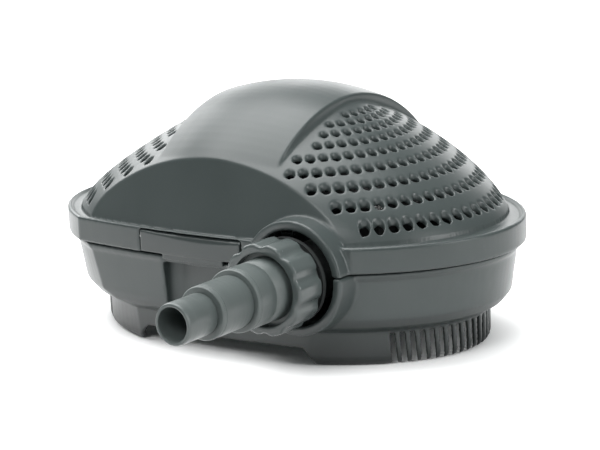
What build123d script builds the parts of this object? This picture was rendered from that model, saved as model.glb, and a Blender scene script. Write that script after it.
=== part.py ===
from build123d import *
import math
import os

# Fountain pump: a two-part strainer shell round a canned-rotor motor pump, with a stepped
# hose tail held by a union nut. Millimetres. X is right seen from the front, Y points to the
# back, Z is up. The origin is at the middle of the bounding box on the ground.

# Plan outline: an ellipse cut at the front by a shallow arc
half_width = 163.0
half_depth = 114.0
front_cut = 19.0
front_radius = 650.0
wall = 3.0

# Heights
foot_height = 22.0
seam_z = 62.2
seam_gap = 0.5
rim_height = 16.8
crown_rise = 79.5

# Side dome above the rim: semi-axes shrink with height t above the rim
rim_ledge_side = 12.0
rim_ledge_back = 4.0
dome_a_height = 91.0
dome_a_power = 1.28
dome_b_height = 80.0
dome_b_power = 2.5
dome_shift = 8.0
dome_top = 70.0
dome_steps = (0.0, 0.2, 0.4, 0.6, 0.77, 0.91, 1.0)

# Smooth centre band that stands proud of the dome
band_half = 46.0
band_front_radius = 124.0
band_cross_radius = 170.0
band_shift = 7.0
face_lean = 15.5
face_inset = 3.5
rear_face_radius = 230.0
rear_face_inset = 6.0

# Strainer holes, in rows at constant height
row_count = 11
row_first_t = 10.6
row_first_rise = 10.8
row_rise_ratio = 0.855
hole_first_d = 6.4
hole_d_ratio = 0.965
hole_pitch = 8.9
hole_pitch_ratio = 0.975
hole_front_limit = 76.0
hole_back_limit = 88.0
hole_band_margin = 5.5

# Lower shell: insets of the sides and of the front at the floor, up the wall, and at the ledge
floor_inset = (22.0, 11.0)
curve_inset = (15.0, 7.0)
curve_rise = 4.0
wall_inset = (10.0, 5.0)
wall_rise = 10.0
ledge_inset = (6.0, 3.0)
ledge_drop = 4.7
bead_inset = (4.5, 2.0)
bead_drop = 3.2
seam_inset = (4.0, 2.0)
skirt_low_inset = (31.0, 19.0)
skirt_inset = (28.0, 16.0)
skirt_top_inset = (24.0, 13.0)
skirt_low_rise = 4.0
slot_width = 3.0
slot_pitch = 6.2
slot_cut = 24.0
slot_margin = 2.0
slot_start_y = -54.0
slot_end_y = 74.0
toe_gap_half = 62.0
toe_gap_height = 4.0

# Finger recess below the latch
recess_x = (-34.0, 18.0)
recess_depth = 15.0
recess_corner = 8.0
lining_lap = 1.5

# Latch
latch_x = (-49.5, 30.0)
latch_below_rim = 1.6
latch_above_seam = 1.2
latch_thick = 5.0
latch_clear = 0.5
latch_pin_r = 1.5
latch_pin_lap = 4.0
latch_barrel_r = 4.4
latch_block_depth = 15.0
latch_block_side = 6.0
tab_drop = 8.4
tab_thick = 2.4
tab_end_gap = 2.0
tab_inset = 0.6
catch_drop = 4.7
catch_thick = 3.0
catch_depth = 8.0
catch_gap = 0.4

# Rear hinge
hinge_x = 62.0
hinge_out = 8.0
hinge_r = 5.0
hinge_pin_r = 2.0
pin_clear = 0.05
lid_lug_w = 12.0
base_lug_w = 6.0
lug_gap = 0.4
lug_root = 12.0
lid_lug_h = 9.0
base_lug_h = 16.0
lug_face_gap = 0.3

# Outlet, union nut and hose tail, all on one axis that points to the front
outlet_x = 70.0
tail_proud = 115.7
step_r = (12.5, 16.0, 19.0)
step_len = (26.5, 29.5, 29.5)
tip_chamfer = (1.0, 2.5)
step_chamfer = (0.8, 1.2)
tip_bore_r = 10.0
tail_wall = 4.5
opening_clear = 1.4
collar_w = 6.0
collar_proud = 2.0
collar_depth = 16.0
arch_depth = 24.0
nut_wall = 3.5
nut_lobes = 10
nut_turn = 18.0
nut_len = 22.3
nut_overlap = 1.6
nut_lip_len = 5.4
nut_lip_clear = 3.2
flute_r = 6.0
flute_depth = 1.5
thread_step = 5.2
thread_clear = 0.4
tail_flange_len = 3.5
tail_flange_clear = 0.4
fit_gap = 0.2
outlet_seal_len = 2.0
outlet_seal_clear = 0.3
outlet_bore_r = 14.5
outlet_wall = 4.0
outlet_shoulder = 2.3
outlet_shoulder_len = 3.0
outlet_thread_len = 14.0

# Motor and pump on one shaft that runs across the shell
casing_r = 36.0
casing_wall = 4.0
casing_back = 3.0
casing_len = 40.3
hub_hole_gap = 3.0
cover_len = 3.5
cover_step = 2.0
volute_seal_len = 2.0
volute_seal_w = 2.5
eye_r = 15.0
eye_wall = 2.5
inlet_len = 12.0
arm_w = 3.0
motor_x = (-70.0, 46.0)
motor_r = 38.0
motor_wall = 3.6
can_r = 20.8
can_wall = 1.0
can_end_gap = 8.0
can_flange_len = 3.0
can_flange_inset = 1.0
core_x = (-45.0, 5.0)
coil_len = 14.0
coil_inset = 4.0
coil_gap = 1.5
magnet_gap = 0.6
magnet_x = (-50.0, 10.0)
shaft_r = 3.0
shaft_clear = 0.05
shaft_end_gap = 4.0
shaft_proud = 2.5
hub_r = 7.0
disc_gap = 5.0
disc_back_gap = 8.8
disc_len = 3.0
vane_len = 17.0
vane_count = 6
vane_w = 2.4
vane_turn = 14.0
bearing_r = 8.0
bearing_len = 8.0
nose_r = 5.0
nose_back = 1.0
nose_front = 0.5
washer_len = 2.0
ear_step = 4.0
ear_angles = (25.0, 155.0, 240.0, 300.0)
ear_pad_r = 5.0
ear_len = 12.0
screw_r = 2.0
screw_clear = 0.1
screw_grip = 10.0
screw_head_r = 3.6
screw_head_len = 3.0
saddle_end = 10.0
saddle_w = 9.0
saddle_half = 30.0
saddle_drop = 8.0
cradle_end = 8.0
cradle_t = 3.0
cradle_corner = 6.0
cradle_gap = 4.5
mount_r = 7.0
mount_len = 6.0
mount_end = 6.5
mount_y = 23.0
strap_t = 2.4
gland_r = 9.0
gland_body_r = 6.5
gland_bore_r = 3.6
gland_rise = 24.0
gland_flange_len = 5.0
gland_body_len = 14.0
gland_nut_len = 11.0
gland_nut_proud = 3.0
grommet_x = -95.0
grommet_drop = 15.2
grommet_r = 8.0
grommet_len = 20.0
grommet_lap = 7.0
grommet_bore_len = 12.0

# Derived heights
rim_top = seam_z + rim_height
crown_z = rim_top + crown_rise
lid_z = seam_z + seam_gap
hinge_z = seam_z + seam_gap / 2
tub_floor = foot_height + wall
cradle_z = tub_floor + mount_len
motor_z = cradle_z + cradle_t + cradle_gap + motor_r
outlet_pipe_r = outlet_bore_r + outlet_wall
outlet_z = motor_z - casing_r + outlet_pipe_r
latch_top = rim_top - latch_below_rim
latch_bottom = seam_z + latch_above_seam
latch_pin_z = latch_top - latch_barrel_r
catch_bottom = seam_z - catch_drop
tab_bottom = seam_z - tab_drop
saddle_z = motor_z - saddle_drop
grommet_z = seam_z - grommet_drop
tub_curve = (foot_height + curve_rise,) + curve_inset
tub_wall = (foot_height + wall_rise,) + wall_inset
tub_ledge = (seam_z - ledge_drop,) + ledge_inset
tub_bead = (seam_z - bead_drop,) + bead_inset

# Derived radii
dome_a = half_width - rim_ledge_side
dome_b = half_depth - rim_ledge_back
thread_r = step_r[2] + thread_step
tail_bore_r = step_r[2] - tail_wall
nut_r = thread_r + thread_clear + nut_wall
nut_lip_r = step_r[2] + nut_lip_clear
tail_flange_r = thread_r - tail_flange_clear
opening_r = nut_r + opening_clear
collar_r = opening_r + collar_w
magnet_r = can_r - can_wall - magnet_gap
disc_r = casing_r - casing_wall - disc_gap
ear_r = motor_r + ear_step
ear_spots = [
    (ear_r * math.cos(math.radians(angle)), ear_r * math.sin(math.radians(angle)))
    for angle in ear_angles
]
core_outer_r = motor_r - motor_wall - fit_gap
coil_outer_r = motor_r - motor_wall - coil_inset
spin_bore_r = shaft_r + shaft_clear
catch_face_r = front_radius - tab_inset - tab_thick - catch_gap

# Derived places from front to back
front_reach = half_depth - front_cut
tip_reach = front_reach + tail_proud
back_reach = half_depth + hinge_out + hinge_r
body_y = (tip_reach - back_reach) / 2
tip_y = body_y - tip_reach
front_y = body_y - front_reach
front_centre_y = front_y + front_radius
hinge_y = body_y + half_depth + hinge_out
latch_pin_y = front_y + latch_barrel_r
step_2_y = tip_y + step_len[0]
step_3_y = step_2_y + step_len[1]
tail_end_y = step_3_y + step_len[2]
nut_front_y = tail_end_y - nut_overlap
nut_back_y = nut_front_y + nut_len
lip_back_y = nut_front_y + nut_lip_len
flange_front_y = lip_back_y + fit_gap
seal_front_y = flange_front_y + tail_flange_len
thread_front_y = seal_front_y + outlet_seal_len
shoulder_y = thread_front_y + outlet_thread_len

# Derived places from left to right
recess_mid = (recess_x[0] + recess_x[1]) / 2
recess_w = recess_x[1] - recess_x[0]
latch_mid = (latch_x[0] + latch_x[1]) / 2
latch_w = latch_x[1] - latch_x[0]
can_end_x = motor_x[0] + can_end_gap
casing_x = motor_x[1] + can_flange_len + fit_gap
casing_end_x = casing_x + casing_len
cover_x = casing_end_x + cover_len
shaft_x = can_end_x + shaft_end_gap
shaft_end_x = casing_end_x + shaft_proud
disc_x = casing_x + disc_back_gap
vane_end_x = disc_x + disc_len + vane_len
motor_mid = (motor_x[0] + motor_x[1]) / 2
motor_len = motor_x[1] - motor_x[0]
saddle_pitch = motor_len - 4 * saddle_end
mount_pitch = saddle_pitch - saddle_w - 2 * mount_end


def cross_plane(x):
    """Plane across the shell at x, its first direction along Y, its second up."""
    return Plane(origin=(x, body_y, motor_z), x_dir=(0, 1, 0), z_dir=(1, 0, 0))


def outlet_plane(y):
    """Plane across the outlet axis at y, facing the front."""
    return Plane(origin=(outlet_x, y, outlet_z), x_dir=(1, 0, 0), z_dir=(0, -1, 0))


def draw_ears():
    """Draws the four bolt ears round the motor axis."""
    for angle, (ear_y, ear_z) in zip(ear_angles, ear_spots):
        with Locations((ear_y / 2, ear_z / 2)):
            Rectangle(ear_r, 2 * ear_pad_r, rotation=angle)
        with Locations((ear_y, ear_z)):
            Circle(ear_pad_r)


def draw_outline(side, front):
    """Draws the plan outline, drawn in at the sides and at the front."""
    with Locations((0, body_y)):
        Ellipse(half_width - side, half_depth - side)
    with Locations((0, front_centre_y)):
        Circle(front_radius - front, mode=Mode.INTERSECT)


def stack(levels, inset=0.0):
    """Ruled solid through the plan outline at each (height, side inset, front inset)."""
    with BuildPart() as solid:
        for z, side, front in levels:
            with BuildSketch(Plane.XY.offset(z)):
                draw_outline(side + inset, front + inset)
        loft(ruled=True)
    return solid.part


def dome_axes(t):
    """Semi-axes and centre shift of the side dome at height t above the rim."""
    a = dome_a * (1 - (t / dome_a_height) ** dome_a_power)
    b = dome_b * (1 - (t / dome_b_height) ** dome_b_power)
    return a, b, dome_shift * t / dome_top


def dome_solid(inset):
    """Closed dome with its centre band, drawn in by inset on every side."""
    with BuildPart() as solid:
        for step in dome_steps:
            t = step * dome_top
            a, b, shift = dome_axes(t)
            with BuildSketch(Plane.XY.offset(rim_top + t - inset)):
                with Locations((0, body_y + shift)):
                    Ellipse(a - inset, b - inset)
        loft()
        add(band_solid(inset))
        lean = math.radians(face_lean)
        face_dir = (0, math.sin(lean), math.cos(lean))
        with BuildSketch(Plane.XY.offset(rim_top - inset)):
            with Locations((0, front_centre_y)):
                Circle(front_radius - face_inset - inset)
        extrude(amount=2 * crown_z, dir=face_dir, mode=Mode.INTERSECT)
    return solid.part


def band_solid(inset):
    """Barrel-shaped centre band, from its front crease over the crown to its rear crease."""
    half = band_half - inset
    top = crown_z - inset
    sag = band_cross_radius - math.sqrt(band_cross_radius**2 - half**2)
    spin = Axis((0, body_y + band_shift, crown_z - band_front_radius), (1, 0, 0))
    low = crown_z - band_front_radius
    rear_lean = math.radians(-face_lean)
    with BuildPart() as solid:
        with BuildSketch(Plane.XZ.offset(-body_y - band_shift)):
            with BuildLine():
                Polyline((-half, top - sag), (-half, low), (half, low), (half, top - sag))
                ThreePointArc((half, top - sag), (0, top), (-half, top - sag))
            make_face()
        revolve(axis=spin, revolution_arc=360)
        with BuildSketch(Plane.XY.offset(rim_top - inset)):
            with Locations((0, body_y)):
                Ellipse(half_width - face_inset, half_depth - face_inset - inset)
        extrude(amount=crown_z, mode=Mode.INTERSECT)
        with BuildSketch(Plane.XY.offset(rim_top - inset)):
            with Locations((0, body_y + half_depth - rear_face_inset - rear_face_radius)):
                Circle(rear_face_radius - inset)
        rear_dir = (0, math.sin(rear_lean), math.cos(rear_lean))
        extrude(amount=2 * crown_z, dir=rear_dir, mode=Mode.INTERSECT)
    return solid.part


def walk_ellipse(a, b, start, stop, pitch):
    """Angles round an ellipse that step by pitch along its edge."""
    angles = []
    angle = start
    while angle <= stop:
        angles.append(angle)
        angle += pitch / math.hypot(a * math.sin(angle), b * math.cos(angle))
    return angles


def strainer_holes():
    """Place and radius of each strainer hole on the right-hand side."""
    holes = []
    t = row_first_t
    rise = row_first_rise
    for row in range(row_count):
        a, b, shift = dome_axes(t)
        pitch = hole_pitch * hole_pitch_ratio**row
        radius = hole_first_d * hole_d_ratio**row / 2
        for angle in walk_ellipse(a, b, -math.pi / 2, math.pi / 2, pitch):
            x = a * math.cos(angle)
            y = shift + b * math.sin(angle)
            if x > band_half + hole_band_margin and -hole_front_limit < y < hole_back_limit:
                holes.append((x, body_y + y, radius))
        t += rise
        rise *= row_rise_ratio
    return holes


def lug_root_y(x):
    """Where the root of a hinge lug at x starts, just inside the rear wall."""
    return body_y + (half_depth - lug_root) * math.sqrt(1 - (x / half_width) ** 2)


def finish(solid, name):
    """Labels a finished piece and writes it."""
    solid.part.label = name
    export_step(solid.part, f"parts/{name}.step")


os.makedirs("parts", exist_ok=True)

# ---- Lower shell: tub, slotted foot skirt, finger recess, outlet collar and hinge lugs ----
tub_foot = (foot_height,) + floor_inset
tub_inner_foot = (tub_floor,) + curve_inset
tub_seam = (seam_z,) + seam_inset
tub_open_top = (seam_z + wall,) + seam_inset
skirt_mid = (skirt_low_rise,) + skirt_inset
skirt_top = (foot_height,) + skirt_top_inset
tub_solid = stack((tub_foot, tub_curve, tub_wall, tub_ledge, tub_bead, tub_seam))
tub_space = stack((tub_inner_foot, tub_wall, tub_ledge, tub_bead, tub_open_top), wall)
skirt_solid = stack(((0.0,) + skirt_low_inset, skirt_mid, skirt_top))
skirt_space = stack(((-wall,) + skirt_low_inset, skirt_mid, skirt_top), wall)

with BuildPart() as recess_lining:
    add(tub_solid)
    with BuildSketch(Plane.XY):
        with Locations((recess_mid, front_y)):
            Rectangle(recess_w + 2 * wall, 2 * (recess_depth + wall))
    extrude(amount=catch_bottom + lining_lap, mode=Mode.INTERSECT)

skirt_slots = []
skirt_a = half_width - skirt_inset[0]
skirt_b = half_depth - skirt_inset[0]
for slot_angle in walk_ellipse(skirt_a, skirt_b, -math.pi / 2, math.pi / 2, slot_pitch):
    slot_x = skirt_a * math.cos(slot_angle)
    slot_y = skirt_b * math.sin(slot_angle)
    if slot_start_y < slot_y < slot_end_y:
        facing = math.degrees(math.atan2(slot_y / skirt_b**2, slot_x / skirt_a**2))
        skirt_slots.append((slot_x, slot_y, facing))

with BuildPart() as lower_shell:
    add(tub_solid)
    add(tub_space, mode=Mode.SUBTRACT)
    add(skirt_solid)
    add(skirt_space, mode=Mode.SUBTRACT)
    add(recess_lining.part)
    # finger recess, open to the front below the latch
    with BuildSketch(Plane.XY.offset(tub_floor)):
        with Locations((recess_mid, front_y)):
            RectangleRounded(recess_w, 2 * recess_depth, recess_corner)
    extrude(amount=catch_bottom - tub_floor, mode=Mode.SUBTRACT)
    # room for the latch tab in front of the catch
    with BuildSketch(Plane.XY.offset(catch_bottom)):
        with Locations((recess_mid, front_y)):
            Rectangle(recess_w, 2 * latch_block_depth)
        with Locations((0, front_centre_y)):
            Circle(catch_face_r, mode=Mode.SUBTRACT)
    extrude(amount=seam_z, mode=Mode.SUBTRACT)
    # raised edge between the two front feet
    with BuildSketch(Plane.XY):
        with Locations((0, front_y)):
            Rectangle(2 * toe_gap_half, front_reach)
    extrude(amount=toe_gap_height, mode=Mode.SUBTRACT)
    # slots of the foot skirt
    for slot_x, slot_y, facing in skirt_slots:
        for side in (1, -1):
            turn = facing if side > 0 else 180 - facing
            with BuildSketch(Plane.XY):
                with Locations((side * slot_x, body_y + slot_y)):
                    Rectangle(slot_cut, slot_width, rotation=turn)
            extrude(amount=foot_height - slot_margin, mode=Mode.SUBTRACT)
    # outlet collar and opening
    with BuildSketch(outlet_plane(front_y + collar_depth)):
        Circle(collar_r)
        with Locations((0, seam_z - outlet_z + collar_r)):
            Rectangle(2 * collar_r, 2 * collar_r, mode=Mode.SUBTRACT)
    extrude(amount=collar_depth + collar_proud)
    with BuildSketch(outlet_plane(front_y + 2 * collar_depth)):
        Circle(opening_r)
    extrude(amount=4 * collar_depth, mode=Mode.SUBTRACT)
    # catch behind the latch tab
    with BuildSketch(Plane.XY.offset(catch_bottom)):
        with Locations((0, front_centre_y)):
            Circle(catch_face_r)
            Circle(catch_face_r - catch_depth, mode=Mode.SUBTRACT)
        with Locations((recess_mid, front_y)):
            Rectangle(recess_w + wall, 2 * latch_block_depth, mode=Mode.INTERSECT)
    extrude(amount=catch_thick)
    # hinge lugs
    for side in (1, -1):
        for edge in (1, -1):
            lug_mid = side * hinge_x + edge * (lid_lug_w / 2 + lug_gap + base_lug_w / 2)
            root_y = lug_root_y(lug_mid)
            with BuildSketch(Plane.YZ.offset(lug_mid - base_lug_w / 2)):
                with BuildLine():
                    Polyline(
                        (root_y, seam_z - base_lug_h),
                        (hinge_y, hinge_z - hinge_r),
                        (hinge_y, hinge_z - lug_face_gap),
                        (root_y, seam_z),
                        close=True,
                    )
                make_face()
                with Locations((hinge_y, hinge_z)):
                    Circle(hinge_r)
                    Circle(hinge_pin_r, mode=Mode.SUBTRACT)
            extrude(amount=base_lug_w)
    # round seat for the cable grommet in the rear wall
    with BuildSketch(Plane.XZ.offset(-body_y - half_depth)):
        with Locations((grommet_x, grommet_z)):
            Circle(grommet_r)
    extrude(amount=half_depth, mode=Mode.SUBTRACT)
finish(lower_shell, "lower_shell")

# ---- Upper shell: rim, perforated dome, centre band, outlet arch, latch seat ----
with BuildPart() as latch_block:
    with BuildSketch(Plane.XY.offset(lid_z)):
        draw_outline(0, 0)
        with Locations((latch_mid, front_y)):
            Rectangle(latch_w + 2 * latch_block_side, 2 * latch_block_depth, mode=Mode.INTERSECT)
    extrude(amount=rim_top - lid_z)

with BuildPart() as upper_shell:
    add(dome_solid(0))
    with BuildSketch(Plane.XY.offset(lid_z)):
        draw_outline(0, 0)
    extrude(amount=rim_top - lid_z)
    # outlet arch
    with BuildSketch(outlet_plane(front_y + arch_depth)):
        Circle(collar_r)
        with Locations((0, lid_z - outlet_z - collar_r)):
            Rectangle(2 * collar_r, 2 * collar_r, mode=Mode.SUBTRACT)
    extrude(amount=arch_depth + collar_proud)
    # inside
    add(dome_solid(wall), mode=Mode.SUBTRACT)
    with BuildSketch(Plane.XY.offset(lid_z)):
        draw_outline(wall, wall)
    extrude(amount=rim_top - lid_z - wall, mode=Mode.SUBTRACT)
    add(latch_block.part)
    # seat for the latch, open to the front and below
    with BuildSketch(Plane.XY.offset(lid_z)):
        with Locations((latch_mid, front_y)):
            Rectangle(latch_w + 2 * latch_clear, 2 * (latch_block_depth - wall))
    extrude(amount=latch_top + latch_clear - lid_z, mode=Mode.SUBTRACT)
    with BuildSketch(Plane.YZ.offset(latch_x[0] - latch_pin_lap)):
        with Locations((latch_pin_y, latch_pin_z)):
            Circle(latch_pin_r)
    extrude(amount=latch_w + 2 * latch_pin_lap, mode=Mode.SUBTRACT)
    with BuildSketch(outlet_plane(front_y + 2 * arch_depth)):
        Circle(opening_r)
    extrude(amount=4 * arch_depth, mode=Mode.SUBTRACT)
    # strainer holes, drawn straight down through both sides
    for hole_x, hole_y, hole_r in strainer_holes():
        with BuildSketch(Plane.XY.offset(rim_top + wall)):
            with Locations((hole_x, hole_y), (-hole_x, hole_y)):
                Circle(hole_r)
    extrude(amount=crown_z, mode=Mode.SUBTRACT)
    # hinge lugs
    for side in (1, -1):
        with BuildSketch(Plane.YZ.offset(side * hinge_x - lid_lug_w / 2)):
            with BuildLine():
                Polyline(
                    (lug_root_y(hinge_x), lid_z),
                    (hinge_y, hinge_z + lug_face_gap),
                    (hinge_y, hinge_z + hinge_r),
                    (lug_root_y(hinge_x), lid_z + lid_lug_h),
                    close=True,
                )
            make_face()
            with Locations((hinge_y, hinge_z)):
                Circle(hinge_r)
                Circle(hinge_pin_r + pin_clear, mode=Mode.SUBTRACT)
        extrude(amount=lid_lug_w)
finish(upper_shell, "upper_shell")

# ---- Hinge pins ----
hinge_pin_len = lid_lug_w + 2 * lug_gap + 2 * base_lug_w
with BuildPart() as hinge_pins:
    for side in (1, -1):
        with BuildSketch(Plane.YZ.offset(side * hinge_x - hinge_pin_len / 2)):
            with Locations((hinge_y, hinge_z)):
                Circle(hinge_pin_r)
        extrude(amount=hinge_pin_len)
finish(hinge_pins, "hinge_pins")

# ---- Latch and its pin ----
with BuildPart() as latch:
    # barrel round the pin, its front flush with the casing
    with BuildSketch(Plane.YZ.offset(latch_x[0])):
        with Locations((latch_pin_y, latch_pin_z)):
            Circle(latch_barrel_r)
    extrude(amount=latch_w)
    with BuildSketch(Plane.XY.offset(latch_bottom)):
        with Locations((0, front_centre_y)):
            Circle(front_radius)
    extrude(amount=rim_height, mode=Mode.INTERSECT)
    # plate that hangs from the barrel
    with BuildSketch(Plane.XY.offset(latch_bottom)):
        with Locations((0, front_centre_y)):
            Circle(front_radius)
            Circle(front_radius - latch_thick, mode=Mode.SUBTRACT)
        with Locations((latch_mid, front_y)):
            Rectangle(latch_w, 2 * latch_block_depth, mode=Mode.INTERSECT)
    extrude(amount=latch_pin_z - latch_bottom)
    # tab that reaches down in front of the catch
    with BuildSketch(Plane.XY.offset(tab_bottom)):
        with Locations((0, front_centre_y)):
            Circle(front_radius - tab_inset)
            Circle(front_radius - tab_inset - tab_thick, mode=Mode.SUBTRACT)
        with Locations((recess_mid, front_y)):
            Rectangle(recess_w - 2 * tab_end_gap, 2 * latch_block_depth, mode=Mode.INTERSECT)
    extrude(amount=latch_bottom - tab_bottom + tab_thick)
    with BuildSketch(Plane.YZ.offset(latch_x[0])):
        with Locations((latch_pin_y, latch_pin_z)):
            Circle(latch_pin_r + pin_clear)
    extrude(amount=latch_w, mode=Mode.SUBTRACT)
finish(latch, "latch")

with BuildPart() as latch_pin:
    with BuildSketch(Plane.YZ.offset(latch_x[0] - latch_pin_lap)):
        with Locations((latch_pin_y, latch_pin_z)):
            Circle(latch_pin_r)
    extrude(amount=latch_w + 2 * latch_pin_lap)
finish(latch_pin, "latch_pin")

# ---- Hose tail: three steps, a bore that widens to the back, and a seating flange ----
with BuildPart() as hose_tail:
    with BuildSketch(Plane(origin=(outlet_x, 0, outlet_z), x_dir=(1, 0, 0), z_dir=(0, 0, 1))):
        with BuildLine():
            Polyline(
                (tip_bore_r, tip_y),
                (step_r[0] - tip_chamfer[0], tip_y),
                (step_r[0], tip_y + tip_chamfer[1]),
                (step_r[0], step_2_y),
                (step_r[1] - step_chamfer[0], step_2_y),
                (step_r[1], step_2_y + step_chamfer[1]),
                (step_r[1], step_3_y),
                (step_r[2] - step_chamfer[0], step_3_y),
                (step_r[2], step_3_y + step_chamfer[1]),
                (step_r[2], flange_front_y),
                (tail_flange_r, flange_front_y),
                (tail_flange_r, seal_front_y),
                (tail_bore_r, seal_front_y),
                (tail_bore_r, step_3_y),
                (tip_bore_r, step_2_y),
                close=True,
            )
        make_face()
    revolve(axis=Axis((outlet_x, 0, outlet_z), (0, 1, 0)))
finish(hose_tail, "hose_tail")

# ---- Union nut with rounded lobes, its lip in front of the tail's flange ----
with BuildPart() as union_nut:
    with BuildSketch(outlet_plane(nut_back_y)):
        Circle(nut_r)
        with PolarLocations(nut_r + flute_r - flute_depth, nut_lobes, start_angle=nut_turn):
            Circle(flute_r, mode=Mode.SUBTRACT)
    extrude(amount=nut_len)
    with BuildSketch(outlet_plane(nut_back_y)):
        Circle(thread_r + thread_clear)
    extrude(amount=nut_back_y - lip_back_y, mode=Mode.SUBTRACT)
    with BuildSketch(outlet_plane(nut_back_y)):
        Circle(nut_lip_r)
    extrude(amount=nut_len, mode=Mode.SUBTRACT)
finish(union_nut, "union_nut")

with BuildPart() as outlet_seal:
    with BuildSketch(outlet_plane(thread_front_y)):
        Circle(tail_flange_r - outlet_seal_clear)
        Circle(outlet_bore_r, mode=Mode.SUBTRACT)
    extrude(amount=outlet_seal_len)
finish(outlet_seal, "outlet_seal")

# ---- Pump housing: round casing across the shell with a tangent outlet to the front ----
with BuildPart() as pump_housing:
    with BuildSketch(cross_plane(casing_x)):
        Circle(casing_r)
        draw_ears()
    extrude(amount=casing_len)
    with BuildSketch(outlet_plane(body_y)):
        Circle(outlet_pipe_r)
    extrude(amount=body_y - thread_front_y)
    with BuildSketch(outlet_plane(shoulder_y + outlet_shoulder_len)):
        Circle(thread_r + outlet_shoulder)
    extrude(amount=outlet_shoulder_len)
    with BuildSketch(outlet_plane(shoulder_y)):
        Circle(thread_r)
    extrude(amount=outlet_thread_len)
    with BuildSketch(cross_plane(casing_x + casing_back)):
        Circle(casing_r - casing_wall)
    extrude(amount=casing_len, mode=Mode.SUBTRACT)
    with BuildSketch(outlet_plane(body_y)):
        Circle(outlet_bore_r)
    extrude(amount=body_y - thread_front_y, mode=Mode.SUBTRACT)
    with BuildSketch(cross_plane(casing_x)):
        Circle(hub_r + hub_hole_gap)
        with Locations(*ear_spots):
            Circle(screw_r)
    extrude(amount=casing_len, mode=Mode.SUBTRACT)
finish(pump_housing, "pump_housing")

# ---- Cover with the suction eye and a three-armed bearing carrier ----
with BuildPart() as volute_cover:
    with BuildSketch(cross_plane(casing_end_x)):
        Circle(casing_r)
        draw_ears()
        Circle(eye_r, mode=Mode.SUBTRACT)
        with Locations(*ear_spots):
            Circle(screw_r, mode=Mode.SUBTRACT)
    extrude(amount=cover_len)
    with BuildSketch(cross_plane(casing_end_x - cover_step)):
        Circle(casing_r - casing_wall - fit_gap)
        Circle(eye_r, mode=Mode.SUBTRACT)
    extrude(amount=cover_step)
    with BuildSketch(cross_plane(cover_x)):
        Circle(eye_r + eye_wall)
        Circle(eye_r, mode=Mode.SUBTRACT)
    extrude(amount=inlet_len)
    with BuildSketch(cross_plane(casing_end_x)):
        with PolarLocations((eye_r + hub_r) / 2, 3):
            Rectangle(eye_r - hub_r + arm_w, arm_w)
        Circle(hub_r)
        Circle(nose_r, mode=Mode.SUBTRACT)
    extrude(amount=cover_len)
finish(volute_cover, "volute_cover")

with BuildPart() as volute_seal:
    with BuildSketch(cross_plane(casing_end_x - cover_step - volute_seal_len)):
        Circle(casing_r - casing_wall)
        Circle(casing_r - casing_wall - volute_seal_w, mode=Mode.SUBTRACT)
    extrude(amount=volute_seal_len)
finish(volute_seal, "volute_seal")

with BuildPart() as housing_screws:
    with BuildSketch(cross_plane(motor_x[1] - screw_grip)):
        with Locations(*ear_spots):
            Circle(screw_r - screw_clear)
    extrude(amount=cover_x - motor_x[1] + screw_grip)
    with BuildSketch(cross_plane(cover_x)):
        with Locations(*ear_spots):
            Circle(screw_head_r)
    extrude(amount=screw_head_len)
finish(housing_screws, "housing_screws")

# ---- Motor: housing, end cap, stator core, coils and the rotor can ----
with BuildPart() as motor_housing:
    with BuildSketch(cross_plane(motor_x[0])):
        Circle(motor_r)
    extrude(amount=motor_len)
    with BuildSketch(cross_plane(motor_x[1] - ear_len)):
        draw_ears()
    extrude(amount=ear_len)
    with BuildSketch(cross_plane(motor_x[0] + motor_wall)):
        Circle(motor_r - motor_wall)
    extrude(amount=motor_len, mode=Mode.SUBTRACT)
    with BuildSketch(cross_plane(motor_x[1] - ear_len)):
        with Locations(*ear_spots):
            Circle(screw_r)
    extrude(amount=ear_len, mode=Mode.SUBTRACT)
    with BuildSketch(cross_plane(motor_x[0])):
        with Locations((0, gland_rise)):
            Circle(gland_body_r + thread_clear / 2)
    extrude(amount=motor_wall, mode=Mode.SUBTRACT)
finish(motor_housing, "motor_housing")

with BuildPart() as potting:
    with BuildSketch(cross_plane(motor_x[0] + motor_wall)):
        Circle(core_outer_r)
    extrude(amount=can_end_gap - motor_wall - fit_gap)
finish(potting, "potting")

with BuildPart() as stator_core:
    with BuildSketch(cross_plane(core_x[0])):
        Circle(core_outer_r)
        Circle(can_r + fit_gap, mode=Mode.SUBTRACT)
    extrude(amount=core_x[1] - core_x[0])
finish(stator_core, "stator_core")

with BuildPart() as stator_coils:
    for coil_x in (core_x[0] - coil_len - fit_gap, core_x[1] + fit_gap):
        with BuildSketch(cross_plane(coil_x)):
            Circle(coil_outer_r)
            Circle(can_r + coil_gap, mode=Mode.SUBTRACT)
        extrude(amount=coil_len)
finish(stator_coils, "stator_coils")

with BuildPart() as rotor_can:
    with BuildSketch(cross_plane(can_end_x)):
        Circle(can_r)
    extrude(amount=motor_x[1] - can_end_x)
    with BuildSketch(cross_plane(motor_x[1])):
        Circle(casing_r - can_flange_inset)
    extrude(amount=can_flange_len)
    with BuildSketch(cross_plane(can_end_x + can_wall)):
        Circle(can_r - can_wall)
    extrude(amount=motor_x[1] - can_end_x + can_flange_len, mode=Mode.SUBTRACT)
finish(rotor_can, "rotor_can")

# ---- Shaft and its two bearings ----
with BuildPart() as shaft:
    with BuildSketch(cross_plane(shaft_x)):
        Circle(shaft_r)
    extrude(amount=shaft_end_x - shaft_x)
finish(shaft, "shaft")

with BuildPart() as rear_bearing:
    with BuildSketch(cross_plane(can_end_x + can_wall)):
        Circle(bearing_r)
    extrude(amount=bearing_len)
    with BuildSketch(cross_plane(shaft_x)):
        Circle(shaft_r)
    extrude(amount=bearing_len, mode=Mode.SUBTRACT)
finish(rear_bearing, "rear_bearing")

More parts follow.
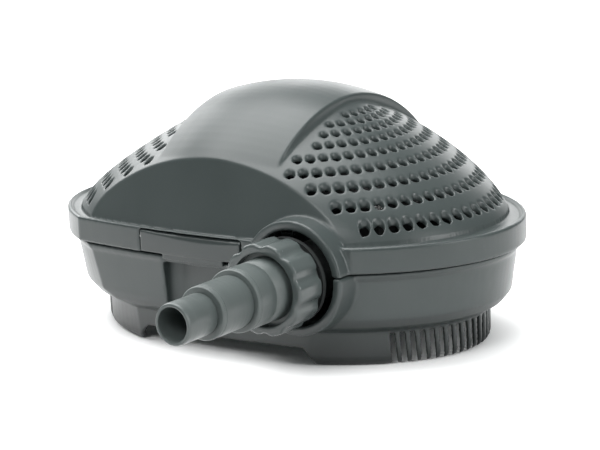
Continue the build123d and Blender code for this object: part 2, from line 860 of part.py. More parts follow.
with BuildPart() as front_bearing:
    with BuildSketch(cross_plane(casing_end_x - nose_back)):
        Circle(nose_r - screw_clear)
    extrude(amount=nose_back + cover_len + nose_front)
    with BuildSketch(cross_plane(casing_end_x - nose_back)):
        Circle(shaft_r)
    extrude(amount=nose_back + shaft_proud, mode=Mode.SUBTRACT)
finish(front_bearing, "front_bearing")

# ---- Rotor: magnet, impeller and thrust washer turn together on the fixed shaft ----
with BuildPart() as rotor_magnet:
    with BuildSketch(cross_plane(magnet_x[0])):
        Circle(magnet_r)
        Circle(spin_bore_r, mode=Mode.SUBTRACT)
    extrude(amount=magnet_x[1] - magnet_x[0])
finish(rotor_magnet, "rotor_magnet")

with BuildPart() as thrust_washer:
    with BuildSketch(cross_plane(magnet_x[0] - washer_len)):
        Circle(hub_r)
        Circle(spin_bore_r, mode=Mode.SUBTRACT)
    extrude(amount=washer_len)
finish(thrust_washer, "thrust_washer")

with BuildPart() as impeller:
    with BuildSketch(cross_plane(magnet_x[1])):
        Circle(hub_r)
    extrude(amount=vane_end_x - magnet_x[1])
    with BuildSketch(cross_plane(disc_x)):
        Circle(disc_r)
    extrude(amount=disc_len)
    with BuildSketch(cross_plane(disc_x)):
        with PolarLocations((hub_r + disc_r) / 2, vane_count):
            Rectangle(disc_r - hub_r, vane_w, rotation=vane_turn)
        Circle(disc_r, mode=Mode.INTERSECT)
    extrude(amount=disc_len + vane_len)
    with BuildSketch(cross_plane(magnet_x[1])):
        Circle(spin_bore_r)
    extrude(amount=vane_end_x - magnet_x[1], mode=Mode.SUBTRACT)
finish(impeller, "impeller")

# ---- Motor seat: cradle on four rubber mounts, with two straps over the motor ----
with BuildPart() as motor_cradle:
    with BuildSketch(Plane.XY.offset(cradle_z)):
        with Locations((motor_mid, body_y)):
            RectangleRounded(saddle_pitch + 2 * cradle_end, 2 * saddle_half, cradle_corner)
            with GridLocations(mount_pitch, 2 * mount_y, 2, 2):
                Circle(screw_r, mode=Mode.SUBTRACT)
    extrude(amount=cradle_t)
    for side in (1, -1):
        with BuildSketch(Plane.YZ.offset(motor_mid + (side * saddle_pitch - saddle_w) / 2)):
            with Locations((body_y, (cradle_z + saddle_z) / 2)):
                Rectangle(2 * saddle_half, saddle_z - cradle_z)
            with Locations((body_y, motor_z)):
                Circle(motor_r + fit_gap, mode=Mode.SUBTRACT)
        extrude(amount=saddle_w)
finish(motor_cradle, "motor_cradle")

with BuildPart() as rubber_mounts:
    with BuildSketch(Plane.XY.offset(tub_floor)):
        with Locations((motor_mid, body_y)):
            with GridLocations(mount_pitch, 2 * mount_y, 2, 2):
                Circle(mount_r)
                Circle(screw_r, mode=Mode.SUBTRACT)
    extrude(amount=mount_len)
finish(rubber_mounts, "rubber_mounts")

with BuildPart() as mount_screws:
    with BuildSketch(Plane.XY.offset(tub_floor)):
        with Locations((motor_mid, body_y)):
            with GridLocations(mount_pitch, 2 * mount_y, 2, 2):
                Circle(screw_r - screw_clear)
    extrude(amount=mount_len + cradle_t)
    with BuildSketch(Plane.XY.offset(cradle_z + cradle_t)):
        with Locations((motor_mid, body_y)):
            with GridLocations(mount_pitch, 2 * mount_y, 2, 2):
                Circle(screw_head_r)
    extrude(amount=screw_head_len)
finish(mount_screws, "mount_screws")

with BuildPart() as motor_straps:
    for side in (1, -1):
        with BuildSketch(Plane.YZ.offset(motor_mid + (side * saddle_pitch - saddle_w) / 2)):
            with Locations((body_y, motor_z)):
                Circle(motor_r + fit_gap + strap_t)
                Circle(motor_r + fit_gap, mode=Mode.SUBTRACT)
            with Locations((body_y, saddle_z + fit_gap - motor_r)):
                Rectangle(3 * motor_r, 2 * motor_r, mode=Mode.SUBTRACT)
        extrude(amount=saddle_w)
finish(motor_straps, "motor_straps")

# ---- Cable inlet: gland on the motor, its nut, and a grommet in the rear wall ----
with BuildPart() as cable_gland:
    with BuildSketch(cross_plane(motor_x[0] - gland_flange_len)):
        with Locations((0, gland_rise)):
            RegularPolygon(gland_r, 6)
            Circle(gland_bore_r, mode=Mode.SUBTRACT)
    extrude(amount=gland_flange_len)
    with BuildSketch(cross_plane(motor_x[0] - gland_body_len)):
        with Locations((0, gland_rise)):
            Circle(gland_body_r)
            Circle(gland_bore_r, mode=Mode.SUBTRACT)
    extrude(amount=gland_body_len + motor_wall - fit_gap)
finish(cable_gland, "cable_gland")

with BuildPart() as gland_nut:
    with BuildSketch(cross_plane(motor_x[0] - gland_body_len - gland_nut_proud)):
        with Locations((0, gland_rise)):
            RegularPolygon(gland_r, 6)
            Circle(gland_body_r + fit_gap, mode=Mode.SUBTRACT)
    extrude(amount=gland_nut_len)
finish(gland_nut, "gland_nut")

grommet_a = half_width - ledge_inset[0]
grommet_b = half_depth - ledge_inset[0]
grommet_y = body_y + grommet_b * math.sqrt(1 - (grommet_x / grommet_a) ** 2)
with BuildPart() as cable_grommet:
    with BuildSketch(Plane.XZ.offset(-grommet_y - grommet_lap)):
        with Locations((grommet_x, grommet_z)):
            Circle(grommet_r - fit_gap)
    extrude(amount=grommet_len)
    with BuildSketch(Plane.XZ.offset(-grommet_y - grommet_lap)):
        with Locations((grommet_x, grommet_z)):
            Circle(gland_bore_r)
    extrude(amount=grommet_bore_len, mode=Mode.SUBTRACT)
finish(cable_grommet, "cable_grommet")
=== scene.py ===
import math

import bmesh
import bpy
import numpy as np
from mathutils import Matrix, Vector


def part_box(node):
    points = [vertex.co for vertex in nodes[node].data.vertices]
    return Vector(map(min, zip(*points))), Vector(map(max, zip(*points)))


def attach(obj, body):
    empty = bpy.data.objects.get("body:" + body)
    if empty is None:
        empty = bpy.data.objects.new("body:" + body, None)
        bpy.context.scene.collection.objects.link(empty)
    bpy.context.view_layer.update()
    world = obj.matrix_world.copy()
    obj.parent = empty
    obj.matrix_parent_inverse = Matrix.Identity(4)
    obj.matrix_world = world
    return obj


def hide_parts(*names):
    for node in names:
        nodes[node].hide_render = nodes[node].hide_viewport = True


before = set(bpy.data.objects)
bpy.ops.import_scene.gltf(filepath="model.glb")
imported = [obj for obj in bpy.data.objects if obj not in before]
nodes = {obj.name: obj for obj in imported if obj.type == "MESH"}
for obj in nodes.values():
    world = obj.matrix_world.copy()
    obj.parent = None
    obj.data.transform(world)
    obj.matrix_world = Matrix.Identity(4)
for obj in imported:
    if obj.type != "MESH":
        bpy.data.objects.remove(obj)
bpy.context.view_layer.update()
scene = bpy.context.scene
MM = 0.001

# ---------------------------------------------------------------- camera
CAMERA_PLACE = (0.8309, -1.0834, 0.3819)
CAMERA_RIGHT = (0.81217, 0.58162, -0.04579)
CAMERA_UP = (-0.09256, 0.20596, 0.97417)
CAMERA_FORWARD = (-0.57603, 0.78696, -0.22111)
CAMERA_LENS_MM = 132.56
camera_data = bpy.data.cameras.new("camera")
camera_data.sensor_width = 36.0
camera_data.lens = CAMERA_LENS_MM
camera_data.clip_start = 0.05
camera_data.clip_end = 50.0
camera = bpy.data.objects.new("camera", camera_data)
scene.collection.objects.link(camera)
turn = Matrix((CAMERA_RIGHT, CAMERA_UP, tuple(-v for v in CAMERA_FORWARD))).transposed()
camera.matrix_world = Matrix.Translation(CAMERA_PLACE) @ turn.to_4x4()
scene.camera = camera
scene.view_settings.view_transform = "Standard"


# ---------------------------------------------------------------- materials
class Graph:
    """One node material, with short calls for the nodes that the finishes share."""

    def __init__(self, name):
        self.material = bpy.data.materials.new(name)
        self.material.use_nodes = True
        self.tree = self.material.node_tree
        self.tree.nodes.clear()
        self.shader = self.tree.nodes.new("ShaderNodeBsdfPrincipled")
        output = self.tree.nodes.new("ShaderNodeOutputMaterial")
        self.tree.links.new(self.shader.outputs["BSDF"], output.inputs["Surface"])
        self.coords = self.tree.nodes.new("ShaderNodeTexCoord").outputs["Object"]

    def link(self, source, target):
        self.tree.links.new(source, target)

    def noise(self, scale, detail=3.0, stretch=None):
        node = self.tree.nodes.new("ShaderNodeTexNoise")
        node.inputs["Scale"].default_value = scale
        node.inputs["Detail"].default_value = detail
        source = self.coords
        if stretch:
            mapping = self.tree.nodes.new("ShaderNodeMapping")
            mapping.inputs["Scale"].default_value = stretch
            self.link(source, mapping.inputs["Vector"])
            source = mapping.outputs["Vector"]
        self.link(source, node.inputs["Vector"])
        return node.outputs["Fac"]

    def wave(self, scale, direction, distortion=0.0):
        node = self.tree.nodes.new("ShaderNodeTexWave")
        node.wave_type = "BANDS"
        node.bands_direction = direction
        node.inputs["Scale"].default_value = scale
        node.inputs["Distortion"].default_value = distortion
        self.link(self.coords, node.inputs["Vector"])
        return node.outputs["Fac"]

    def height(self):
        node = self.tree.nodes.new("ShaderNodeSeparateXYZ")
        self.link(self.coords, node.inputs["Vector"])
        return node.outputs["Z"]

    def remap(self, source, low, high, out_low, out_high):
        node = self.tree.nodes.new("ShaderNodeMapRange")
        node.inputs["From Min"].default_value = low
        node.inputs["From Max"].default_value = high
        node.inputs["To Min"].default_value = out_low
        node.inputs["To Max"].default_value = out_high
        self.link(source, node.inputs["Value"])
        return node.outputs["Result"]

    def mix(self, factor, first, second):
        node = self.tree.nodes.new("ShaderNodeMix")
        node.data_type = "RGBA"
        self.link(factor, node.inputs["Factor"])
        colour_inputs = [s for s in node.inputs if s.type == "RGBA"]
        for socket, value in zip(colour_inputs, (first, second)):
            if isinstance(value, tuple):
                socket.default_value = value + (1.0,)
            else:
                self.link(value, socket)
        return [s for s in node.outputs if s.type == "RGBA"][0]

    def bump(self, height, distance, strength=1.0, under=None):
        node = self.tree.nodes.new("ShaderNodeBump")
        node.inputs["Distance"].default_value = distance
        node.inputs["Strength"].default_value = strength
        self.link(height, node.inputs["Height"])
        if under is not None:
            self.link(under, node.inputs["Normal"])
        return node.outputs["Normal"]

    # Mask of sharp edges from pointiness, used to lighten them partly as wear and partly as painted
    # highlight.
    def edge_wear_and_highlight_mask(self, low=0.52, high=0.60):
        node = self.tree.nodes.new("ShaderNodeNewGeometry")
        return self.remap(node.outputs["Pointiness"], low, high, 0.0, 1.0)


# Painted shade: heights between which the colour darkens towards the floor, standing in for the shade on the
# feet.
PAINTED_SHADE_FULL = 0.004
PAINTED_SHADE_TOP = 0.036
PAINTED_SHADE_FACTOR = 0.2


def shade(colour, factor):
    return tuple(min(1.0, channel * factor) for channel in colour)


def moulded(name, colour, rough, grain=0.00003, edge_wear_and_highlight=1.5, sheen=0.5, painted_foot_shade=0.0):
    """Moulded plastic: slow colour drift, fine spark grain, edges lightened partly as wear and partly as
    painted highlight, and painted shade darkening the feet if its strength is above 0.
    """
    g = Graph(name)
    drift = g.remap(g.noise(9.0, 4.0), 0.35, 0.65, 0.0, 1.0)
    body = g.mix(drift, shade(colour, 0.93), shade(colour, 1.07))
    speck = g.remap(g.noise(900.0, 2.0), 0.58, 0.75, 0.0, 0.35)
    body = g.mix(speck, body, shade(colour, 1.25))
    # Lighter edges: partly wear, partly painted highlight.
    body = g.mix(g.edge_wear_and_highlight_mask(), body, shade(colour, edge_wear_and_highlight))
    # Painted shade: darkens the colour towards the bottom of the part.
    if painted_foot_shade:
        low = g.remap(g.height(), PAINTED_SHADE_FULL, PAINTED_SHADE_TOP, painted_foot_shade, 0.0)
        body = g.mix(low, body, shade(colour, PAINTED_SHADE_FACTOR))
    g.link(body, g.shader.inputs["Base Color"])
    patch = g.noise(22.0, 5.0)
    g.link(g.remap(patch, 0.3, 0.7, rough - 0.05, rough + 0.06), g.shader.inputs["Roughness"])
    fine = g.bump(g.noise(1800.0, 2.0), grain)
    g.link(g.bump(g.noise(60.0, 2.0), grain * 2.0, under=fine), g.shader.inputs["Normal"])
    g.shader.inputs["Specular IOR Level"].default_value = sheen
    return g.material


def turned(name, colour, rough, axis="Y", rings=320.0, depth=0.00004):
    """Plastic with fine rings along the given axis, as on a turned or core-pulled part."""
    g = Graph(name)
    drift = g.remap(g.noise(14.0, 4.0), 0.35, 0.65, 0.0, 1.0)
    body = g.mix(drift, shade(colour, 0.92), shade(colour, 1.08))
    stretch = tuple(1.0 if letter == axis else 0.06 for letter in "XYZ")
    lines = g.noise(rings, 3.0, stretch)
    body = g.mix(g.remap(lines, 0.4, 0.7, 0.0, 0.5), body, shade(colour, 1.18))
    # Lighter edges: partly wear, partly painted highlight.
    body = g.mix(g.edge_wear_and_highlight_mask(), body, shade(colour, 1.35))
    g.link(body, g.shader.inputs["Base Color"])
    g.link(g.remap(lines, 0.3, 0.7, rough - 0.06, rough + 0.08), g.shader.inputs["Roughness"])
    g.link(g.bump(lines, depth), g.shader.inputs["Normal"])
    return g.material


def metal(name, colour, rough, axis="X"):
    """Brushed metal with a fine grain along the axis and slightly brighter edges."""
    g = Graph(name)
    stretch = tuple(0.05 if letter == axis else 1.0 for letter in "XYZ")
    grain = g.noise(900.0, 3.0, stretch)
    body = g.mix(g.remap(grain, 0.35, 0.65, 0.0, 1.0), shade(colour, 0.86), shade(colour, 1.08))
    # Brighter edges: partly wear, partly painted highlight.
    body = g.mix(g.edge_wear_and_highlight_mask(), body, shade(colour, 1.2))
    g.link(body, g.shader.inputs["Base Color"])
    g.shader.inputs["Metallic"].default_value = 1.0
    g.link(g.remap(grain, 0.3, 0.7, rough - 0.07, rough + 0.1), g.shader.inputs["Roughness"])
    g.link(g.bump(grain, 0.00002), g.shader.inputs["Normal"])
    return g.material


def rubber(name, colour, rough=0.72):
    """Matt rubber with a dusty bloom."""
    g = Graph(name)
    bloom = g.remap(g.noise(120.0, 5.0), 0.45, 0.75, 0.0, 0.6)
    g.link(g.mix(bloom, colour, shade(colour, 1.9)), g.shader.inputs["Base Color"])
    g.link(g.remap(bloom, 0.0, 0.6, rough - 0.08, rough + 0.1), g.shader.inputs["Roughness"])
    g.link(g.bump(g.noise(700.0, 3.0), 0.00005), g.shader.inputs["Normal"])
    return g.material


def layered(name, dark, light, scale, direction, rough, metallic):
    """Fine layers or windings: alternate bands with a bump."""
    g = Graph(name)
    bands = g.wave(scale, direction, 0.3)
    body = g.mix(bands, dark, light)
    body = g.mix(g.remap(g.noise(40.0, 4.0), 0.4, 0.7, 0.0, 0.4), body, shade(dark, 0.8))
    g.link(body, g.shader.inputs["Base Color"])
    g.link(g.remap(bands, 0.0, 1.0, rough + 0.1, rough), g.shader.inputs["Roughness"])
    g.link(g.bump(bands, 0.00012), g.shader.inputs["Normal"])
    g.shader.inputs["Metallic"].default_value = metallic
    return g.material


CASING = (0.046, 0.058, 0.057)
casing_mat = moulded("casing_plastic", CASING, 0.35)
# The lower shell gets painted shade darkening its feet.
tub_mat = moulded("tub_plastic", CASING, 0.35, painted_foot_shade=0.85)
latch_mat = moulded("latch_plastic", shade(CASING, 0.82), 0.30)
tail_mat = turned("tail_plastic", (0.088, 0.104, 0.101), 0.40)
nut_mat = moulded("nut_plastic", (0.075, 0.090, 0.088), 0.22, edge_wear_and_highlight=1.4)
housing_mat = moulded("housing_plastic", (0.020, 0.022, 0.022), 0.38)
cradle_mat = moulded("cradle_plastic", (0.045, 0.050, 0.050), 0.45)
impeller_mat = moulded("impeller_plastic", (0.55, 0.56, 0.53), 0.35, edge_wear_and_highlight=1.15)
resin_mat = moulded("potting_resin", (0.012, 0.012, 0.012), 0.18)
rubber_mat = rubber("seal_rubber", (0.022, 0.022, 0.022))
steel_mat = metal("stainless", (0.55, 0.55, 0.54), 0.28)
core_mat = layered("core_steel", (0.10, 0.10, 0.105), (0.22, 0.22, 0.23), 420.0, "X", 0.4, 0.9)
copper_mat = layered("copper_wire", (0.36, 0.12, 0.05), (0.80, 0.36, 0.17), 260.0, "DIAGONAL", 0.3, 0.9)
magnet_mat = layered("magnet", (0.030, 0.030, 0.034), (0.045, 0.045, 0.050), 60.0, "X", 0.5, 0.3)


def coat(obj, material):
    obj.data.materials.clear()
    obj.data.materials.append(material)


FINISHES = (
    (steel_mat, ("hinge_pins", "latch_pin", "housing_screws", "mount_screws", "motor_straps")),
    (steel_mat, ("rotor_can", "shaft", "thrust_washer")),
    (rubber_mat, ("outlet_seal", "volute_seal", "rubber_mounts", "cable_grommet")),
    (rubber_mat, ("rear_bearing", "front_bearing")),
    (housing_mat, ("pump_housing", "volute_cover", "motor_housing", "cable_gland", "gland_nut")),
    (cradle_mat, ("motor_cradle",)),
    (resin_mat, ("potting",)),
    (core_mat, ("stator_core",)),
    (copper_mat, ("stator_coils",)),
    (magnet_mat, ("rotor_magnet",)),
    (impeller_mat, ("impeller",)),
)
for material, node_names in FINISHES:
    for node_name in node_names:
        coat(nodes[node_name], material)


# ---------------------------------------------------------------- pieces
def new_piece(name, mesh, body, slot, material, *replaced):
    piece = bpy.data.objects.new(name, mesh)
    scene.collection.objects.link(piece)
    coat(piece, material)
    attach(piece, body)
    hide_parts(*replaced)
    return piece


def moulded_copy(name, node, voxel, passes):
    """Mesh of a CAD node rebuilt at voxel size with its sharp edges rounded, as moulding leaves them."""
    work = bpy.data.objects.new(name + "_work", nodes[node].data.copy())
    scene.collection.objects.link(work)
    remesh = work.modifiers.new("remesh", "REMESH")
    remesh.mode = "VOXEL"
    remesh.voxel_size = voxel
    remesh.use_smooth_shade = True
    soften = work.modifiers.new("soften", "SMOOTH")
    soften.factor = 0.5
    soften.iterations = passes
    bpy.context.view_layer.update()
    mesh = bpy.data.meshes.new_from_object(work.evaluated_get(bpy.context.evaluated_depsgraph_get()))
    bpy.data.objects.remove(work)
    mesh.name = name
    mesh.shade_smooth()
    return mesh


def ring_mesh(name, origin, rings, count, sharp_deg=35.0):
    """Closed mesh round the Y axis through origin: each ring is a distance to the back and a radius."""
    build = bmesh.new()
    loops = []
    for distance, radius_at in rings:
        loop = []
        for step in range(count):
            angle = 2 * math.pi * step / count
            radius = radius_at(angle) if callable(radius_at) else radius_at
            place = (radius * math.cos(angle) * MM, distance * MM, radius * math.sin(angle) * MM)
            loop.append(build.verts.new(Vector(origin) + Vector(place)))
        loops.append(loop)
    for first, second in zip(loops, loops[1:] + loops[:1]):
        for step in range(count):
            after = (step + 1) % count
            build.faces.new((first[step], first[after], second[after], second[step]))
    bmesh.ops.recalc_face_normals(build, faces=build.faces)
    mesh = bpy.data.meshes.new(name)
    build.to_mesh(mesh)
    build.free()
    mesh.shade_smooth()
    mesh.set_sharp_from_angle(angle=math.radians(sharp_deg))
    return mesh


def ease(value, low, high):
    """0 below low, 1 above high, smooth between, for an array."""
    share = np.clip((value - low) / (high - low), 0.0, 1.0)
    return share * share * (3.0 - 2.0 * share)


def places(mesh):
    """The vertices of a mesh as an array of points."""
    flat = np.empty(len(mesh.vertices) * 3)
    mesh.vertices.foreach_get("co", flat)
    return flat.reshape(-1, 3)


def normals(mesh):
    """The vertex normals of a mesh as an array."""
    flat = np.empty(len(mesh.vertices) * 3)
    mesh.vertices.foreach_get("normal", flat)
    return flat.reshape(-1, 3)


def put_places(mesh, points):
    mesh.vertices.foreach_set("co", points.ravel())
    mesh.update()


HALF_WIDTH = 0.163
HALF_DEPTH = 0.114
FRONT_REACH = 0.095
FRONT_RADIUS = 0.650
RIM_TOP = 0.079
BODY_Y = 0.04185
TROUGH_DEPTH = 0.0016
TROUGH_START = (0.0022, 0.0042)
TROUGH_END = (0.016, 0.022)
RIM_NEAR = 0.0012
UPWARD = 0.5


def inside_outline(x, y):
    """How far points in plan lie inside the casing's outline, roughly."""
    y = y - BODY_Y
    reach = np.hypot(x / HALF_WIDTH, y / HALF_DEPTH)
    slope = np.hypot(x / HALF_WIDTH**2, y / HALF_DEPTH**2) / np.maximum(reach, 0.001)
    side = (1.0 - reach) / np.maximum(slope, 0.001)
    front = FRONT_RADIUS - np.hypot(x, y + FRONT_REACH - FRONT_RADIUS)
    return np.minimum(side, front)


def sink_rim(mesh):
    """Lowers the top of the rim behind its outer edge, so that the edge stands up as a lip."""
    points = places(mesh)
    depth = inside_outline(points[:, 0], points[:, 1])
    share = ease(depth, *TROUGH_START) * (1.0 - ease(depth, *TROUGH_END))
    on_top = (np.abs(points[:, 2] - RIM_TOP) < RIM_NEAR) & (normals(mesh)[:, 2] > UPWARD)
    points[:, 2] -= TROUGH_DEPTH * share * on_top
    put_places(mesh, points)


LATCH_BOTTOM = 0.0634
TAB_DROP = 0.0032


def trim_tab(mesh):
    """Draws the tab under the latch plate up to a short grip."""
    points = places(mesh)
    drop = LATCH_BOTTOM - points[:, 2]
    longest = drop.max()
    hangs = drop > 0.0
    points[hangs, 2] = LATCH_BOTTOM - drop[hangs] * TAB_DROP / longest
    put_places(mesh, points)


SKIRT_TOP = 0.022
SKIRT_ROUND = 0.005
ROUND_IN = 0.0025
FOOT_LIFT = 0.0075
LIFT_LEFT = (-0.066, -0.056)
LIFT_RIGHT = (0.060, 0.068)
LIFT_BACK = (-0.020, -0.005)
SKIRT_HEIGHTS = (0.0, 0.004, 0.022)
SIDE_SPANS = (HALF_WIDTH - 0.031, HALF_WIDTH - 0.028, HALF_WIDTH - 0.024)
FRONT_SPANS = (FRONT_REACH - 0.019, FRONT_REACH - 0.016, FRONT_REACH - 0.013)


def shape_feet(mesh):
    """Stands the foot skirt upright with a rounded foot edge, and raises its front between the feet."""
    points = places(mesh)
    low = points[:, 2] < SKIRT_TOP
    x, y, z = points[low].T
    turn_in = np.clip(1.0 - z / SKIRT_ROUND, 0.0, 1.0) ** 2
    side_now = np.interp(z, SKIRT_HEIGHTS, SIDE_SPANS)
    front_now = np.interp(z, SKIRT_HEIGHTS, FRONT_SPANS)
    x_new = x * (SIDE_SPANS[2] - ROUND_IN * turn_in) / side_now
    y_new = BODY_Y + (y - BODY_Y) * (FRONT_SPANS[2] - ROUND_IN * turn_in) / front_now
    window = ease(x, *LIFT_LEFT) * (1.0 - ease(x, *LIFT_RIGHT)) * (1.0 - ease(y, *LIFT_BACK))
    z_new = z + FOOT_LIFT * window * (1.0 - z / SKIRT_TOP)
    points[low] = np.column_stack((x_new, y_new, z_new))
    put_places(mesh, points)


SHELL_VOXEL = 0.0008
SHELL_PASSES = 12
LATCH_VOXEL = 0.0005
LATCH_PASSES = 8
upper_mesh = moulded_copy("casing_upper", "upper_shell", SHELL_VOXEL, SHELL_PASSES)
sink_rim(upper_mesh)
new_piece("casing_upper", upper_mesh, "lid", "casing_plastic", casing_mat, "upper_shell")
lower_mesh = moulded_copy("casing_lower", "lower_shell", SHELL_VOXEL, SHELL_PASSES)
shape_feet(lower_mesh)
new_piece("casing_lower", lower_mesh, "base", "casing_plastic", tub_mat, "lower_shell")
latch_mesh = moulded_copy("latch_plate", "latch", LATCH_VOXEL, LATCH_PASSES)
trim_tab(latch_mesh)
new_piece("latch_plate", latch_mesh, "latch", "latch_plastic", latch_mat, "latch")

# hose tail: rounded tip, a bead and a groove at the front of each step, seating flange
tail_low, tail_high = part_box("hose_tail")
tail_axis = ((tail_low[0] + tail_high[0]) / 2, tail_low[1], (tail_low[2] + tail_high[2]) / 2)
tail_len = (tail_high[1] - tail_low[1]) / MM
flange_r = (tail_high[0] - tail_low[0]) / 2 / MM
STEP_R = (12.5, 16.0, 19.0)
STEP_AT = (0.0, 26.5, 56.0)
FLANGE_LEN = 3.5
TIP_BORE_R = 10.0
REAR_BORE_R = 14.5
TAIL_FACETS = 128


def step_rings(start, inner, outer):
    """Front of a step: face, rounded edge, a narrow bead and a shallow groove behind it."""
    return [
        (start - 1.6, inner), (start - 1.0, inner - 0.35), (start - 0.1, inner - 0.4),
        (start, outer - 1.3), (start + 0.15, outer - 0.6), (start + 0.7, outer - 0.1), (start + 1.3, outer),
        (start + 2.6, outer), (start + 2.9, outer - 0.22), (start + 3.5, outer - 0.22), (start + 3.8, outer),
    ]


tail_rings = [
    (1.2, TIP_BORE_R), (0.35, TIP_BORE_R + 0.3), (0.0, TIP_BORE_R + 0.9), (0.0, STEP_R[0] - 1.1),
    (0.3, STEP_R[0] - 0.5), (1.2, STEP_R[0] - 0.1), (2.4, STEP_R[0]),
]
tail_rings += step_rings(STEP_AT[1], STEP_R[0], STEP_R[1])
tail_rings += step_rings(STEP_AT[2], STEP_R[1], STEP_R[2])
tail_rings += [
    (STEP_AT[2] + 17.0, STEP_R[2]), (STEP_AT[2] + 17.3, STEP_R[2] - 0.2),
    (STEP_AT[2] + 17.8, STEP_R[2] - 0.2), (STEP_AT[2] + 18.1, STEP_R[2]),
    (tail_len - FLANGE_LEN - 0.6, STEP_R[2]), (tail_len - FLANGE_LEN, STEP_R[2] + 0.6),
    (tail_len - FLANGE_LEN, flange_r - 0.4), (tail_len - FLANGE_LEN + 0.4, flange_r),
    (tail_len - 0.4, flange_r), (tail_len, flange_r - 0.4), (tail_len, REAR_BORE_R + 0.4),
    (tail_len - 0.4, REAR_BORE_R), (STEP_AT[2], REAR_BORE_R), (STEP_AT[1], TIP_BORE_R),
]
tail_mesh = ring_mesh("hose_tail_turned", tail_axis, tail_rings, TAIL_FACETS)
new_piece("hose_tail_turned", tail_mesh, "tail", "tail_plastic", tail_mat, "hose_tail")

# union nut: ten rounded lobes between concave flutes
nut_low, nut_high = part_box("union_nut")
nut_axis = (tail_axis[0], nut_low[1], tail_axis[2])
nut_len = (nut_high[1] - nut_low[1]) / MM
nut_r = (nut_high[0] - nut_low[0]) / 2 / MM
NUT_LOBES = 10
NUT_TURN = math.radians(18.0)
FLUTE_R = 6.0
FLUTE_DEPTH = 1.9
NUT_LIP_R = 22.2
NUT_LIP_LEN = 5.4
NUT_THREAD_R = 24.6
NUT_FACETS = 360
LOBE_BLUR_DEG = (-3.0, -1.5, 0.0, 1.5, 3.0)


def lobe_radius(angle):
    """Outside radius of the nut at an angle, with the flute's corners rounded."""
    pitch = 2 * math.pi / NUT_LOBES
    centre = nut_r + FLUTE_R - FLUTE_DEPTH
    total = 0.0
    for offset in LOBE_BLUR_DEG:
        delta = (angle - NUT_TURN + math.radians(offset) + pitch / 2) % pitch - pitch / 2
        inside = FLUTE_R**2 - (centre * math.sin(delta)) ** 2
        cut = centre * math.cos(delta) - math.sqrt(inside) if inside > 0 else nut_r
        total += min(nut_r, cut)
    return total / len(LOBE_BLUR_DEG)


def lobed(offset):
    return lambda angle: lobe_radius(angle) - offset


nut_rings = [
    (1.0, NUT_LIP_R), (0.25, NUT_LIP_R + 0.2), (0.0, NUT_LIP_R + 0.8), (0.0, lobed(1.7)), (0.2, lobed(0.9)),
    (0.8, lobed(0.25)), (1.8, lobed(0.0)), (nut_len / 2, lobed(0.0)), (nut_len - 1.6, lobed(0.0)),
    (nut_len - 0.6, lobed(0.25)), (nut_len - 0.15, lobed(0.8)), (nut_len, lobed(1.5)),
    (nut_len, NUT_THREAD_R + 0.7), (nut_len - 0.7, NUT_THREAD_R), (NUT_LIP_LEN, NUT_THREAD_R),
    (NUT_LIP_LEN, NUT_LIP_R),
]
nut_mesh = ring_mesh("union_nut_lobed", nut_axis, nut_rings, NUT_FACETS)
new_piece("union_nut_lobed", nut_mesh, "nut", "nut_plastic", nut_mat, "union_nut")

# ---------------------------------------------------------------- floor, light and world
floor_mesh = bpy.data.meshes.new("floor")
FLOOR_HALF = 6.0
FLOOR_DROP = -0.0004
# The floor glows, though it is no lamp, to read white: painted light. In an oval under the pump it glows not
# at all: a painted shadow.
FLOOR_PAINTED_GLOW = 0.55
SHADOW_SPOT_WIDTH = 0.139
SHADOW_SPOT_DEPTH = 0.090
SHADOW_SPOT_EDGE = (0.95, 1.25)
FLOOR_TONES = ((0.97, 0.97, 0.97), (0.985, 0.985, 0.985))
corners = [(-1, -1), (1, -1), (1, 1), (-1, 1)]
floor_mesh.from_pydata([(x * FLOOR_HALF, y * FLOOR_HALF, FLOOR_DROP) for x, y in corners], [], [(0, 1, 2, 3)])
floor = bpy.data.objects.new("floor", floor_mesh)
scene.collection.objects.link(floor)
floor_graph = Graph("floor_glow_and_painted_shadow")
floor_colour = floor_graph.mix(floor_graph.noise(3.0, 2.0), *FLOOR_TONES)
floor_graph.link(floor_colour, floor_graph.shader.inputs["Base Color"])
floor_graph.shader.inputs["Roughness"].default_value = 0.9
floor_graph.shader.inputs["Specular IOR Level"].default_value = 0.1
floor_graph.shader.inputs["Emission Color"].default_value = (1.0, 1.0, 1.0, 1.0)
# Painted shadow: the floor's glow fades to nothing inside an oval round the pump's footprint.
shadow_spot = floor_graph.tree.nodes.new("ShaderNodeMapping")
shadow_spot.inputs["Location"].default_value = (0.0, -BODY_Y / SHADOW_SPOT_DEPTH, 0.0)
shadow_spot.inputs["Scale"].default_value = (1.0 / SHADOW_SPOT_WIDTH, 1.0 / SHADOW_SPOT_DEPTH, 0.0)
floor_graph.link(floor_graph.coords, shadow_spot.inputs["Vector"])
reach = floor_graph.tree.nodes.new("ShaderNodeVectorMath")
reach.operation = "LENGTH"
floor_graph.link(shadow_spot.outputs["Vector"], reach.inputs[0])
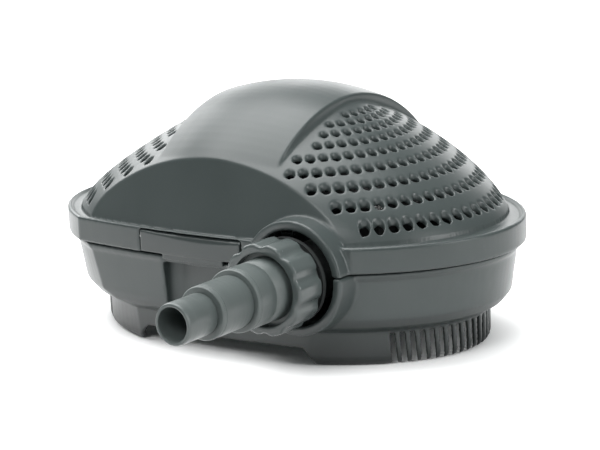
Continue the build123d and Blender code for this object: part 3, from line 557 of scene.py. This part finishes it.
painted_glow = floor_graph.remap(reach.outputs["Value"], *SHADOW_SPOT_EDGE, 0.0, FLOOR_PAINTED_GLOW)
floor_graph.link(painted_glow, floor_graph.shader.inputs["Emission Strength"])
coat(floor, floor_graph.material)
floor.visible_diffuse = False

ROOM_TINT = (0.95, 1.0, 1.0, 1.0)
ROOM_STRENGTH = 0.34
world = bpy.data.worlds.new("studio")
scene.world = world
world.use_nodes = True
world_tree = world.node_tree
backdrop = world_tree.nodes["Background"]
backdrop.inputs["Color"].default_value = (1.0, 1.0, 1.0, 1.0)
backdrop.inputs["Strength"].default_value = 1.0
room = world_tree.nodes.new("ShaderNodeBackground")
room.inputs["Color"].default_value = ROOM_TINT
room.inputs["Strength"].default_value = ROOM_STRENGTH
seen = world_tree.nodes.new("ShaderNodeLightPath")
choose = world_tree.nodes.new("ShaderNodeMixShader")
world_tree.links.new(seen.outputs["Is Camera Ray"], choose.inputs["Fac"])
world_tree.links.new(room.outputs["Background"], choose.inputs[1])
world_tree.links.new(backdrop.outputs["Background"], choose.inputs[2])
world_tree.links.new(choose.outputs["Shader"], world_tree.nodes["World Output"].inputs["Surface"])


def softbox(name, place, target, size, energy):
    """Rectangular area light at place that faces target."""
    data = bpy.data.lights.new(name, "AREA")
    data.shape = "RECTANGLE"
    data.size, data.size_y = size
    data.energy = energy
    lamp = bpy.data.objects.new(name, data)
    scene.collection.objects.link(lamp)
    aim = Vector(target) - Vector(place)
    lamp.matrix_world = Matrix.Translation(place) @ aim.to_track_quat("-Z", "Y").to_matrix().to_4x4()


MIDDLE = (0.0, 0.0, 0.08)
SOFTBOXES = (
    ("top_box", (-0.35, 0.05, 1.2), (1.3, 1.1), 21.0),
    ("left_box", (-1.3, 0.4, 0.75), (0.9, 0.7), 9.0),
    ("back_box", (-0.9, 1.7, 0.55), (1.9, 0.8), 12.0),
    ("right_box", (1.3, 0.1, 0.60), (0.35, 0.9), 9.0),
    ("front_box", (0.3, -1.4, 1.4), (1.0, 0.6), 13.0),
)
for box_name, place, size, energy in SOFTBOXES:
    softbox(box_name, place, MIDDLE, size, energy)
